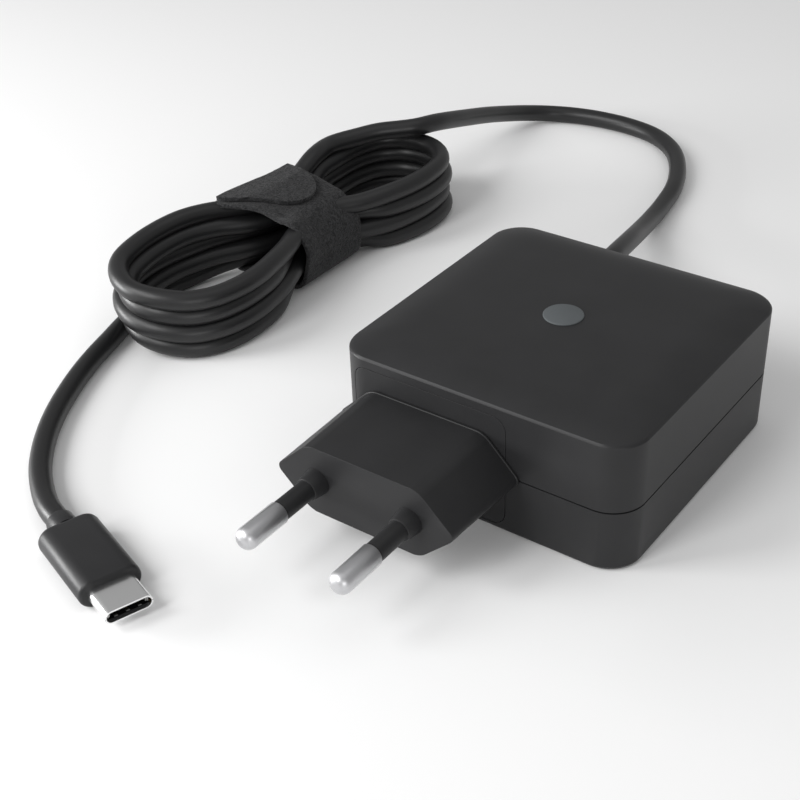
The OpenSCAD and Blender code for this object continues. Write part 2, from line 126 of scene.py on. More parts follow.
# %% [markdown]
# ## Node trees
# Materials here are small node trees. They could be built by hand in the Shader Editor; a helper that
# adds a node with its settings and links keeps each one readable as code. Colours are written as the sRGB
# codes that a colour picker shows.

# %% Nodes and colours
def paint(code):
    """An sRGB hex colour as the linear colour that a shader takes."""
    parts = [int(code[i:i + 2], 16) / 255 for i in (1, 3, 5)]
    return [c / 12.92 if c <= 0.04045 else ((c + 0.055) / 1.055) ** 2.4 for c in parts] + [1.0]


def node(tree, kind, settings=None, **links):
    """Adds a node. settings are its properties or unlinked inputs, links its inputs' sources.

    An input whose name isn't unique is given by its place: _0 is the first one."""
    made = tree.nodes.new(kind)
    for key, value in (settings or {}).items():
        if key in made.inputs:
            made.inputs[key].default_value = value
        else:
            setattr(made, key, value)
    for key, source in links.items():
        slot = made.inputs[int(key[1:])] if key[1:].isdigit() else made.inputs[key.replace("_", " ")]
        tree.links.new(source, slot)
    return made


def shader(name, colour, **settings):
    """A new material with its Principled shader set. Returns the material, its tree and the shader."""
    material = bpy.data.materials.new(name)
    material.use_nodes = True
    tree = material.node_tree
    principled = tree.nodes["Principled BSDF"]
    principled.inputs["Base Color"].default_value = paint(colour)
    for key, value in settings.items():
        principled.inputs[key.replace("_", " ")].default_value = value
    return material, tree, principled


def per_metre(size_mm):
    """Noise scale at which one grain is about that many millimetres across."""
    return 1000 / size_mm


def grain(tree, principled, size_mm, depth_mm, strength, light=None, dark=None, rough=None):
    """A fine moulded or cut texture: bump, a little change of colour, and a little change of gloss."""
    place = node(tree, "ShaderNodeTexCoord")
    fine = node(tree, "ShaderNodeTexNoise", {"Scale": per_metre(size_mm), "Detail": 3.0, "Roughness": 0.6},
                Vector=place.outputs["Object"])
    bump = node(tree, "ShaderNodeBump", {"Strength": strength, "Distance": depth_mm * MM},
                Height=fine.outputs["Fac"])
    tree.links.new(bump.outputs["Normal"], principled.inputs["Normal"])
    broad = node(tree, "ShaderNodeTexNoise", {"Scale": per_metre(9), "Detail": 4.0},
                 Vector=place.outputs["Object"])
    if light:
        ramp = node(tree, "ShaderNodeValToRGB", None, Fac=broad.outputs["Fac"])
        ramp.color_ramp.elements[0].position = 0.3
        ramp.color_ramp.elements[1].position = 0.7
        ramp.color_ramp.elements[0].color = paint(dark)
        ramp.color_ramp.elements[1].color = paint(light)
        tree.links.new(ramp.outputs["Color"], principled.inputs["Base Color"])
    if rough:
        spread = node(tree, "ShaderNodeMapRange", {"To Min": rough[0], "To Max": rough[1]},
                      Value=broad.outputs["Fac"])
        tree.links.new(spread.outputs["Result"], principled.inputs["Roughness"])


# %% [markdown]
# ## Materials of the outside
# The covers and both plugs are polycarbonate moulded against a spark-eroded tool: a satin skin whose
# grain is about 0.1 mm, too fine to see on its own, that breaks up the highlights. A noise bump gives
# that without any geometry. The cord is extruded thermoplastic rubber, smoother and a little glossier.
# The strap is brushed nylon felt.

# %% Plastics and rubber
def moulded_plastic(name, light, dark, rough):
    # spark-eroded grain is near 0.1 mm; drawn at 0.25 mm so that it still shows
    material, tree, principled = shader(name, light, Roughness=rough[0], IOR=1.5, Specular_IOR_Level=0.28)
    grain(tree, principled, 0.25, 0.02, 0.35, light, dark, rough)
    return material


cover_plastic = moulded_plastic("polycarbonate_spark_eroded", "#282829", "#242425", (0.40, 0.47))
plug_plastic = moulded_plastic("polycarbonate_plug_satin", "#272728", "#232324", (0.42, 0.5))
mould_plastic = moulded_plastic("thermoplastic_overmould", "#29292a", "#252526", (0.36, 0.43))
sleeve_plastic = moulded_plastic("polyamide_pin_sleeve", "#212122", "#1d1d1e", (0.4, 0.46))
liner_plastic = moulded_plastic("liquid_crystal_polymer_liner", "#131314", "#101011", (0.45, 0.52))
badge_ink = moulded_plastic("pad_printed_disc", "#565a5c", "#505456", (0.5, 0.56))


def extruded_rubber():
    # the die leaves faint lines and the jacket a soft, slightly uneven gloss
    material, tree, principled = shader("thermoplastic_rubber_extruded", "#1c1c1d", Roughness=0.4, IOR=1.5,
                                        Specular_IOR_Level=0.5)
    grain(tree, principled, 0.5, 0.02, 0.25, "#181819", "#151516", (0.36, 0.46))
    return material


cord_rubber = extruded_rubber()


def felt():
    # brushed loops stand about 0.3 mm proud and scatter light at the rims
    material, tree, principled = shader("nylon_brushed_felt", "#262627", Roughness=0.95, Sheen_Weight=0.08,
                                        Sheen_Roughness=0.5, Specular_IOR_Level=0.2)
    place = node(tree, "ShaderNodeTexCoord")
    tufts = node(tree, "ShaderNodeTexNoise", {"Scale": per_metre(0.7), "Detail": 6.0, "Roughness": 0.75,
                                              "Distortion": 1.2}, Vector=place.outputs["Object"])
    threads = node(tree, "ShaderNodeTexVoronoi", {"Scale": per_metre(0.4), "feature": "SMOOTH_F1"},
                   Vector=place.outputs["Object"])
    both = node(tree, "ShaderNodeMath", {"operation": "MULTIPLY"}, _0=tufts.outputs["Fac"],
                _1=threads.outputs["Distance"])
    bump = node(tree, "ShaderNodeBump", {"Strength": 0.9, "Distance": 0.35 * MM},
                Height=both.outputs["Value"])
    tree.links.new(bump.outputs["Normal"], principled.inputs["Normal"])
    ramp = node(tree, "ShaderNodeValToRGB", None, Fac=tufts.outputs["Fac"])
    ramp.color_ramp.elements[0].position = 0.4
    ramp.color_ramp.elements[1].position = 0.62
    ramp.color_ramp.elements[0].color = paint("#1c1c1d")
    ramp.color_ramp.elements[1].color = paint("#3e3e3f")
    tree.links.new(ramp.outputs["Color"], principled.inputs["Base Color"])
    return material


strap_felt = felt()
print("plastics, rubber and felt:", len(bpy.data.materials))

# %% [markdown]
# ## Metals of the outside
# The pins are turned brass with bright nickel on it, the USB-C shell is drawn stainless steel. Both carry
# very fine lines from the tool. The lines could be an anisotropic shader; a stretched noise in the bump
# does the same and comes through the export.

# %% Metals
def drawn_metal(name, light, dark, rough, across_mm):
    # fine lines round or along the part from turning or rolling, which stretch the highlights
    material, tree, principled = shader(name, light, Metallic=1.0, Roughness=rough[0])
    place = node(tree, "ShaderNodeTexCoord")
    stretch = node(tree, "ShaderNodeMapping", {"Scale": (0.06, 1.0, 0.06)}, Vector=place.outputs["Object"])
    lines = node(tree, "ShaderNodeTexNoise", {"Scale": per_metre(across_mm), "Detail": 2.0},
                 Vector=stretch.outputs["Vector"])
    bump = node(tree, "ShaderNodeBump", {"Strength": 0.05, "Distance": 0.01 * MM},
                Height=lines.outputs["Fac"])
    ramp = node(tree, "ShaderNodeValToRGB", None, Fac=lines.outputs["Fac"])
    ramp.color_ramp.elements[0].color = paint(dark)
    ramp.color_ramp.elements[1].color = paint(light)
    spread = node(tree, "ShaderNodeMapRange", {"To Min": rough[0], "To Max": rough[1]},
                  Value=lines.outputs["Fac"])
    tree.links.new(bump.outputs["Normal"], principled.inputs["Normal"])
    tree.links.new(ramp.outputs["Color"], principled.inputs["Base Color"])
    tree.links.new(spread.outputs["Result"], principled.inputs["Roughness"])
    return material


pin_nickel = drawn_metal("nickel_plated_brass_turned", "#cacacc", "#c2c2c4", (0.42, 0.48), 0.12)
# bright nickel over satin brass: a sharp reflection of the lamps over a soft grey one
for socket, value in (("Coat Weight", 0.7), ("Coat Roughness", 0.1)):
    pin_nickel.node_tree.nodes["Principled BSDF"].inputs[socket].default_value = value
shell_steel = drawn_metal("stainless_steel_drawn", "#f0f0f0", "#e8e8e8", (0.2, 0.28), 0.1)
spring_steel = drawn_metal("phosphor_bronze_tinned", "#a8a8a6", "#989896", (0.28, 0.36), 0.08)
gold_plate = drawn_metal("gold_plate_over_nickel", "#d6b066", "#c8a055", (0.22, 0.3), 0.08)
print("outside materials:", len(bpy.data.materials))

# %% [markdown]
# ## The cord
# One cord, 4.2 mm thick, leaves the tapered gland in the rear wall, swings round on the table, is wound
# about four and a half times into a hank, and runs on to the USB-C plug. It is made as one curve, because
# one curve has one length. The free stretches are a few given points. The hank is a loop: the same
# outline for each turn, one level lower each time, with neighbours leaning in and out so that they nest.

# %% Route of the cord
CORD_D = 4.2
CORD_R = CORD_D / 2
STRAP_T = 1.0

LEAD = [[-15.5, 60, 12], [-15.8, 65, 11.7], [-16.8, 70.5, 10.8],
        [-18.9, 79.5, 8.7], [-21.6, 89.3, 5.9], [-24.2, 99.8, 3.5], [-26.3, 110, 2.3],
        [-28.7, 121, 2.1], [-32.9, 131.3, 2.1], [-38.6, 139.8, 2.1], [-46.2, 145.5, 2.1],
        [-55, 147.9, 2.1], [-64, 148, 2.1], [-71.5, 146.6, 2.1], [-77.5, 143.3, 2.5],
        [-81, 137.5, 3.9], [-82.2, 129.5, 6.3], [-82, 120.2, 9.3], [-81.2, 110.5, 12.3],
        [-80.2, 101.5, 15.1], [-79.9, 94.5, 17], [-81.3, 88.5, 17.7], [-84.3, 85.6, 17.5],
        [-87.8, 82.4, 17.3], [-90.6, 78.2, 17]]

TAIL = [[-96.6, 8, 2.1], [-94.8, 1, 2.1], [-93.1, -4.2, 2.1], [-91.2, -10.2, 2.1], [-88.9, -16.2, 2.1],
        [-86.2, -22, 2.1], [-83.1, -27.8, 2.1], [-79.5, -33.4, 2.1], [-75.4, -38.6, 2.1],
        [-70.6, -43.5, 2.1], [-65.2, -47.6, 2.2], [-60.7, -50.2, 2.5], [-56.4, -51.8, 2.7],
        [-53.5, -52.9, 2.7]]

TURN = [[-88, 45.2], [-90.5, 38], [-94.5, 31], [-97, 24.2], [-97.9, 17.2], [-97.2, 10.2], [-95.2, 4.4],
        [-91.4, 0.4], [-86.6, -1.3], [-81.1, -0.4], [-76.4, 2.6], [-73.2, 7], [-71.7, 12.6],
        [-71.6, 18.5], [-72.7, 24.8], [-75, 31], [-78.2, 38], [-80.4, 45.2], [-78.8, 52],
        [-75, 57.5], [-71.7, 62.8], [-69.7, 69.5], [-69.2, 76.4], [-70.5, 83.1], [-74.5, 88.1],
        [-80.2, 90.3], [-86.2, 89.4], [-90.9, 85.4], [-93.1, 78.9], [-93.2, 71], [-92.5, 64],
        [-91, 57.8], [-89, 51.6]]

STRAP_MID = 45.3
TOP_LEVEL = 4
LEAD_JOINS = 29
TAIL_LEAVES = 5


def ease(t):
    t = min(max(t, 0.0), 1.0)
    return t * t * (3 - 2 * t)


def hank_point(level, i, lean_sign):
    """One point of a turn: its level from the table up, and how far it leans out."""
    x, y = TURN[i]
    ahead, behind = TURN[(i + 1) % len(TURN)], TURN[i - 1]
    along = Vector((ahead[0] - behind[0], ahead[1] - behind[1])).normalized()
    far_side = i <= 8 or i >= 27
    # the strap presses the turns together, and at the left end they lie a little closer too
    held = 1 - ease((abs(y - STRAP_MID) - 10) / 9)
    settled = 0.65 * max(0.0, 1 - abs(i - 5.5) / 3.5)
    squeeze = max(held, settled)
    pitch = 3.7 - (0.8 if far_side else 0.5) * squeeze
    lean = (0.3 + 0.9 * squeeze) * lean_sign * math.cos(math.pi * ease((i - 18.5) / 4.5))
    # at the left end each turn drops by one level, after it has passed over the tail
    drop = ease((i - 5.2) / 5.4)
    over_tail = 0.8 * max(0.0, 1 - abs(i - 5.5) / 2.5) if level else 0.0
    lift = (STRAP_T + 0.05) * held + over_tail
    return [x + along.y * lean, y - along.x * lean, CORD_R + lift + (level - drop) * pitch]


def hank_points():
    """The turns, from the top one to the one on the table. The lead joins late in the one above them."""
    points = []
    for level in range(TOP_LEVEL + 1, -1, -1):
        first = LEAD_JOINS if level > TOP_LEVEL else 0
        last = len(TURN) if level else TAIL_LEAVES
        points += [hank_point(level, i, 1 if level % 2 == 0 else -1) for i in range(first, last)]
    return points


def smooth(points, step):
    """A Catmull-Rom curve through the points, cut into even steps."""
    pts = [Vector(p) for p in points]
    pts = [2 * pts[0] - pts[1]] + pts + [2 * pts[-1] - pts[-2]]
    dense = []
    for a, b, c, d in zip(pts, pts[1:], pts[2:], pts[3:]):
        pieces = max(int((c - b).length / 0.25), 2)
        for k in range(pieces):
            t = k / pieces
            dense.append(0.5 * (2 * b + (c - a) * t + (2 * a - 5 * b + 4 * c - d) * t * t
                                + (3 * b - a - 3 * c + d) * t ** 3))
    dense.append(pts[-2])
    even, carried = [dense[0]], 0.0
    for a, b in zip(dense, dense[1:]):
        carried += (b - a).length
        if carried >= step:
            even.append(b)
            carried = 0.0
    even.append(dense[-1])
    return even


CORD_PATH = smooth(LEAD + hank_points() + TAIL, 1.2)

# %% Cord
def make_cord():
    curve = bpy.data.curves.new("cord", "CURVE")
    curve.dimensions = "3D"
    spline = curve.splines.new("POLY")
    spline.points.add(len(CORD_PATH) - 1)
    for spot, p in zip(spline.points, CORD_PATH):
        spot.co = (*(p * MM), 1)
    spline.use_smooth = True
    curve.bevel_depth = CORD_R * MM
    curve.bevel_resolution = 8
    curve.use_fill_caps = True
    curve.materials.append(cord_rubber)
    cord = bpy.data.objects.new("cord", curve)
    bpy.context.collection.objects.link(cord)
    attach(cord, "charger")
    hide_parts("cord_lead", "cord_hank", "cord_tail")
    return cord


cord = make_cord()

# %% [markdown]
# ## The two covers
# The charger's case is two moulded covers, welded at a fine groove half-way up. Each could be a cube with
# bevels, but the corners, the edge and the shallow crown all have different radii. So each is made as it
# looks in the tool: an outline pushed up through a few heights, then hollowed from its open side. Boolean
# cuts let in the plug insert and the cord gland.

# %% Where the parts stand
PLUG_X, SEAM_Z, FRONT_Y, REAR_Y, MID_Y = -9.3, 12.0, -9.55, 46.95, 18.7
GLAND_X, PIN_PITCH, BLOCK_LEN = -15.5, 18.6, 18.4
BODY_W, BODY_D, CORNER, EDGE_Z, CROWN, WALL = 57.0, 56.5, 6.2, 24.4, 2.0, 2.0
TO_FRONT = Matrix.Rotation(math.radians(90), 4, "X")
TO_REAR = Matrix.Rotation(math.radians(-90), 4, "X")


def at(x, y, z):
    return Matrix.Translation(Vector((x, y, z)) * MM)


def move(bm, matrix):
    """Moves a shape and hands it back, so that it can be made, moved and used in one line."""
    bmesh.ops.transform(bm, matrix=matrix, verts=bm.verts)
    return bm


print(f"case: {BODY_W} x {BODY_D} mm, seam at {SEAM_Z} mm, plug centre at x = {PLUG_X} mm")

# %% Shapes pushed up from a plate
def outward(bm):
    """Turns all the faces of a closed shape outwards."""
    bmesh.ops.recalc_face_normals(bm, faces=bm.faces)
    if bm.calc_volume(signed=True) < 0:
        bmesh.ops.reverse_faces(bm, faces=bm.faces)
    return bm


def plate(width, depth, corner, segments=10):
    """A flat plate on the origin: one quad whose corners are rounded by a vertex bevel."""
    bm = bmesh.new()
    bmesh.ops.create_grid(bm, x_segments=1, y_segments=1, size=0.5)
    bmesh.ops.scale(bm, vec=(width * MM, depth * MM, 1), verts=bm.verts)
    bmesh.ops.bevel(bm, geom=bm.verts[:], offset=corner * MM, segments=segments, profile=0.5,
                    affect="VERTICES", material=-1)
    bm.faces.ensure_lookup_table()
    return bm, bm.faces[0]


def push(bm, face, height, wide=1.0, deep=1.0):
    """Extrudes a face to a height, scaled about the middle line. Returns the new face."""
    old, on_its_own = face, all(edge.is_boundary for edge in face.edges)
    made = bmesh.ops.extrude_face_region(bm, geom=[face])["geom"]
    face = next(item for item in made if isinstance(item, bmesh.types.BMFace))
    # the first face stays as the bottom, a later one would be left inside
    if not on_its_own:
        bmesh.ops.delete(bm, geom=[old], context="FACES_ONLY")
    for vert in face.verts:
        vert.co.z = height * MM
    bmesh.ops.scale(bm, vec=(wide, deep, 1), verts=face.verts)
    return face


def tower(width, depth, corner, steps, segments=10):
    """A solid whose outline draws in or out as it rises; steps are (draw-in, height) from the bottom."""
    bm, face = plate(width, depth, corner, segments)
    draw_in, height = steps[0]
    now = (width - 2 * draw_in, depth - 2 * draw_in)
    bmesh.ops.scale(bm, vec=(now[0] / width, now[1] / depth, 1), verts=bm.verts)
    bmesh.ops.translate(bm, vec=(0, 0, height * MM), verts=bm.verts)
    for draw_in, height in steps[1:]:
        new = (width - 2 * draw_in, depth - 2 * draw_in)
        face = push(bm, face, height, new[0] / now[0], new[1] / now[1])
        now = new
    return outward(bm), face


def end_face(bm, lowest):
    """The lowest or the highest of the level faces."""
    level = [f for f in bm.faces if abs(f.normal.z) > 0.99]
    return (min if lowest else max)(level, key=lambda f: f.calc_center_median().z)


def hollow(bm, face, wall, to_height):
    """Insets a face by a wall and pushes the middle to a height, which leaves a cavity."""
    bmesh.ops.inset_region(bm, faces=[face], thickness=wall * MM, use_even_offset=True)
    push(bm, face, to_height)
    outward(bm)


# %% Cuts in the case
WINDOW = (31.02, 21.82, 2.71)
GLAND_HOLE_R = 3.6


def cut_out(bm, cutters, operation="DIFFERENCE"):
    """Cuts closed shapes out of a mesh with a Boolean, or keeps only what is inside them."""
    made = []
    for number, shape in enumerate([bm] + cutters):
        mesh = bpy.data.meshes.new(f"cut_{number}")
        shape.to_mesh(mesh)
        shape.free()
        made.append(bpy.data.objects.new(f"cut_{number}", mesh))
        bpy.context.collection.objects.link(made[-1])
    for cutter in made[1:]:
        boolean = made[0].modifiers.new("cut", "BOOLEAN")
        boolean.operation = operation
        boolean.solver = "EXACT"
        boolean.object = cutter
    result = bmesh.new()
    result.from_mesh(made[0].evaluated_get(bpy.context.evaluated_depsgraph_get()).to_mesh())
    for piece in made:
        mesh = piece.data
        bpy.data.objects.remove(piece)
        bpy.data.meshes.remove(mesh)
    bmesh.ops.remove_doubles(result, verts=result.verts, dist=0.001 * MM)
    return result


def openings():
    """The cutters for the plug insert in the front wall and the gland in the rear wall."""
    window, face = plate(*WINDOW)
    push(window, face, 5)
    move(outward(window), at(PLUG_X, FRONT_Y + 4, SEAM_Z) @ TO_FRONT)
    hole = bmesh.new()
    bmesh.ops.create_cone(hole, cap_ends=True, segments=48, radius1=GLAND_HOLE_R * MM,
                          radius2=GLAND_HOLE_R * MM, depth=6 * MM)
    move(hole, at(GLAND_X, REAR_Y, SEAM_Z) @ TO_REAR)
    return [window, hole]


# %% Top cover
def make_top_cover():
    # the crown rises steeply from the edge and flattens out 9 mm further in
    crown = [(9 * t, 0.3 + (CROWN - 0.3) * (1 - (1 - t) ** 2.4)) for t in
             (0.033, 0.08, 0.14, 0.21, 0.3, 0.4, 0.52, 0.66, 0.82, 1.0)]
    steps = [(0, SEAM_Z), (0, EDGE_Z), (0.1, EDGE_Z + 0.2)] + [(d, EDGE_Z + h) for d, h in crown]
    bm, _ = tower(BODY_W, BODY_D, CORNER, steps, 14)
    hollow(bm, end_face(bm, True), WALL, EDGE_Z - WALL)
    move(bm, at(0, MID_Y, 0))
    cover = finish("top_cover_shell", cut_out(bm, openings()), cover_plastic, "charger", ["top_cover"],
                   25)
    round_edges(cover, 0.06, 2, 50)
    return cover


print("top cover:", len(make_top_cover().data.polygons), "faces")

# %% Bottom cover
def make_bottom_cover():
    # its rim stands a little further in than its wall, which leaves the groove under the top cover
    groove = 0.3
    steps = [(0.9, 0), (0.5, 0.1), (0.2, 0.32), (0, 0.8), (0, SEAM_Z - groove), (groove, SEAM_Z - groove),
             (groove, SEAM_Z)]
    bm, _ = tower(BODY_W, BODY_D, CORNER, steps, 14)
    hollow(bm, end_face(bm, False), WALL - groove, WALL)
    move(bm, at(0, MID_Y, 0))
    cover = finish("bottom_cover_shell", cut_out(bm, openings()), cover_plastic, "charger",
                   ["bottom_cover"], 25)
    round_edges(cover, 0.06, 2, 50)
    return cover


print("bottom cover:", len(make_bottom_cover().data.polygons), "faces")

# %% [markdown]
# ## The badge
# A plain printed disc stands a quarter of a millimetre proud in the middle of the top. It could be a
# picture on the cover's material, but a thin turned piece keeps its edge sharp from any distance.

# %% Lathe
def turned(profile, sides=48, ring=False):
    """A lathe: points of (radius, height) in mm spun round Z. A ring's profile closes on itself."""
    bm = bmesh.new()
    verts = [bm.verts.new((r * MM, 0, z * MM)) for r, z in profile]
    pairs = list(zip(verts, verts[1:])) + ([(verts[-1], verts[0])] if ring else [])
    edges = [bm.edges.new(pair) for pair in pairs]
    bmesh.ops.spin(bm, geom=verts + edges, cent=(0, 0, 0), axis=(0, 0, 1), angle=math.tau, steps=sides,
                   use_merge=True, use_duplicate=False)
    bmesh.ops.remove_doubles(bm, verts=bm.verts, dist=0.0005 * MM)
    return outward(bm)


# %% Badge
def make_badge():
    radius, proud = 3.6, 0.25
    disc = turned([(0, 0), (radius, 0), (radius, 0.14), (radius - 0.08, 0.22), (radius - 0.2, proud),
                   (0, proud)], 64)
    move(disc, at(0, MID_Y, EDGE_Z + CROWN))
    return finish("badge_disc", disc, badge_ink, "charger", ["badge"])


print("badge:", make_badge().name)

# %% [markdown]
# ## The plug insert
# A plate sits flush in the front wall, and a six-sided block stands out from it, a little thinner and
# narrower at its tip. Its outline is a quad whose short sides are drawn out to points, so that a vertex
# bevel can round all six corners before it is pushed out.

# %% Plug insert
def six_sided(half_h, half_flat, half_w):
    """A quad whose two short sides are drawn out to points, with all six corners rounded."""
    bm = bmesh.new()
    bmesh.ops.create_grid(bm, x_segments=1, y_segments=1, size=1)
    bmesh.ops.scale(bm, vec=(half_flat * MM, half_h * MM, 1), verts=bm.verts)
    sides = [e for e in bm.edges if abs(e.verts[0].co.x - e.verts[1].co.x) < 0.1 * MM]
    bmesh.ops.subdivide_edges(bm, edges=sides, cuts=1)
    bmesh.ops.dissolve_faces(bm, faces=bm.faces[:])
    points = [v for v in bm.verts if abs(v.co.y) < 0.1 * MM]
    corners = [v for v in bm.verts if abs(v.co.y) > 0.1 * MM]
    for vert in points:
        vert.co.x = math.copysign(half_w * MM, vert.co.x)
    for verts, reach in ((points, 1.52), (corners, 1.5)):
        bmesh.ops.bevel(bm, geom=verts, offset=reach * MM, segments=8, profile=0.5, affect="VERTICES",
                        material=-1)
    bm.faces.ensure_lookup_table()
    return bm, bm.faces[0]


def make_plug_insert():
    flange, _ = tower(30.8, 21.6, 2.6, [(0, 0), (0, WALL)])
    move(flange, at(PLUG_X, FRONT_Y + WALL, SEAM_Z) @ TO_FRONT)
    # the plate follows the round corner of the case where it reaches it
    case, _ = tower(BODY_W, BODY_D, CORNER, [(0, 0), (0, EDGE_Z)], 14)
    flange = cut_out(flange, [move(case, at(0, MID_Y, 0))], "INTERSECT")
    neck, face = six_sided(6.9, 9.2, 14.2)
    push(neck, face, 0.4)
    move(neck, at(PLUG_X, FRONT_Y + 0.1, SEAM_Z) @ TO_FRONT)
    root_h, root_w, tip_h, tip_w, gap = 7.2, 18.8, 6.6, 18.1, 0.15
    block, face = six_sided(root_h, 11.5, root_w)
    face = push(block, face, 0.35)
    face = push(block, face, 0.43, 0.992, 0.982)
    push(block, face, BLOCK_LEN - gap, tip_w / (root_w * 0.992), tip_h / (root_h * 0.982))
    move(block, at(PLUG_X, FRONT_Y - gap, SEAM_Z) @ TO_FRONT)
    made = []
    for name, shape, edge in (("plug_plate", flange, 0.06), ("plug_neck", neck, 0.05),
                              ("plug_block", block, 0.26)):
        made.append(finish(name, outward(shape), plug_plastic, "charger", ["plug_insert"],
                           25))
        round_edges(made[-1], edge, 3, 50)
    return made


print("plug insert:", [piece.name for piece in make_plug_insert()])

# %% [markdown]
# ## The pins
# Each pin is turned brass with a conical boss of plastic round its root, a thin insulating sleeve, and a
# bare end with a round tip. All three are bodies of revolution, so a profile is spun for each.

# %% Bosses, sleeves and pins
PIN_R, PIN_LEN, TIP_R = 2.0, 19.0, 1.7
STEM_R, SLEEVE_R, SLEEVE_LEN = 1.3, 1.8, 9.8


def make_pins():
    front = FRONT_Y - BLOCK_LEN
    boss = [(SLEEVE_R, -0.2), (2.45, -0.2), (2.45, 0), (2.1, 2.7), (2.06, 2.84), (1.96, 2.9),
            (SLEEVE_R, 2.9)]
    sleeve = [(STEM_R, 0), (SLEEVE_R, 0), (SLEEVE_R, SLEEVE_LEN - 0.14),
              (SLEEVE_R - 0.04, SLEEVE_LEN - 0.04), (SLEEVE_R - 0.12, SLEEVE_LEN), (STEM_R, SLEEVE_LEN)]
    tip = [(PIN_R - TIP_R + TIP_R * math.cos(a), PIN_LEN - TIP_R + TIP_R * math.sin(a)) for a in
           [math.radians(9 * k) for k in range(11)]]
    pin = [(0, -8), (STEM_R, -8), (STEM_R, SLEEVE_LEN - 0.02), (PIN_R - 0.06, SLEEVE_LEN - 0.02),
           (PIN_R, SLEEVE_LEN + 0.05)] + tip + [(0, PIN_LEN)]
    made = []
    for side, name in ((-1, "left"), (1, "right")):
        root = at(PLUG_X + side * PIN_PITCH / 2, front, SEAM_Z) @ TO_FRONT
        made.append(finish("boss_" + name, move(turned(boss, 48, True), root), plug_plastic))
        made.append(finish("sleeve_" + name, move(turned(sleeve, 48, True), root), sleeve_plastic,
                           "charger", ["pin_sleeve_" + name]))
        made.append(finish("pin_turned_" + name, move(turned(pin, 64), root), pin_nickel, "charger",
                           ["pin_" + name], 60))
    return made


print("pins:", [piece.name for piece in make_pins()])

# %% [markdown]
# ## The cord gland
# Where the cord leaves the case, a tapered rubber sleeve with ring-shaped slots lets it bend without a
# kink. The slots could be cut afterwards; here they are part of the profile that is spun, which keeps the
# mesh clean.

# %% Gland
def make_gland():
    def taper(z):
        return 3.6 - 0.9 * (z - 1.6) / 11.4
    profile = [(2.1, -3.2), (5.2, -3.2), (5.2, -2.1), (3.5, -2.1), (3.5, 0.05), (4.3, 0.05), (4.4, 0.15),
               (4.4, 1.4), (4.32, 1.54), (4.2, 1.6), (taper(1.6), 1.62)]
    for i in range(4):
        start, end = 3.4 + 2.4 * i, 4.3 + 2.4 * i
        profile += [(taper(start - 0.12), start - 0.12), (taper(start) - 0.1, start), (2.55, start + 0.08),
                    (2.55, end - 0.08), (taper(end) - 0.1, end), (taper(end + 0.12), end + 0.12)]
    profile += [(taper(12.8), 12.8), (2.62, 12.95), (2.5, 13), (2.1, 13)]
    gland = turned(profile, 48, True)
    move(gland, at(GLAND_X, REAR_Y, SEAM_Z) @ TO_REAR)
    return finish("gland_sleeve", gland, mould_plastic, "charger", ["cord_gland"], 30)


gland = make_gland()
print("gland:", len(gland.data.polygons), "faces")

# %% [markdown]
# ## The strap
# A band of hook-and-loop felt goes once round the waist of the hank. It could be a cloth simulation, but
# a strap that is pulled tight has a plain shape: its outline is extruded along the hank, given its
# thickness, and roughened a little, because a felt edge is never straight.

# %% Strap
STRAP = [[-94.3, 0], [-94.3, 17.6], [-87.5, 17.9], [-77.4, 15.6], [-73, 10.3], [-73, 3], [-75.6, 0]]
STRAP_W = 19.8
STRAP_TOP_X, STRAP_TOP = STRAP[2]


def fuzz(vert, depth, size):
    """How far a point of felt stands off, from a noise over its place."""
    return depth * MM * noise.noise(vert.co * per_metre(size))


def skew(vert):
    """Sets the strap askew, as a hand-wound one is: its upper left corner is pulled forward, and its near
    edge stands off where the strands spread."""
    x, y, z = vert.co / MM
    pull = ease((-84 - x) / 8) * ease((z - 7) / 9) * ease((STRAP_MID + 5 - y) / 13)
    lip = ease((x + 80) / 3) * ease((STRAP_MID - 3 - y) / 7) * ease((z - 3) / 6)
    vert.co += (Vector((-2.2, -3.6, 0)) * pull + Vector((1.2, 0, 0.8)) * lip) * MM


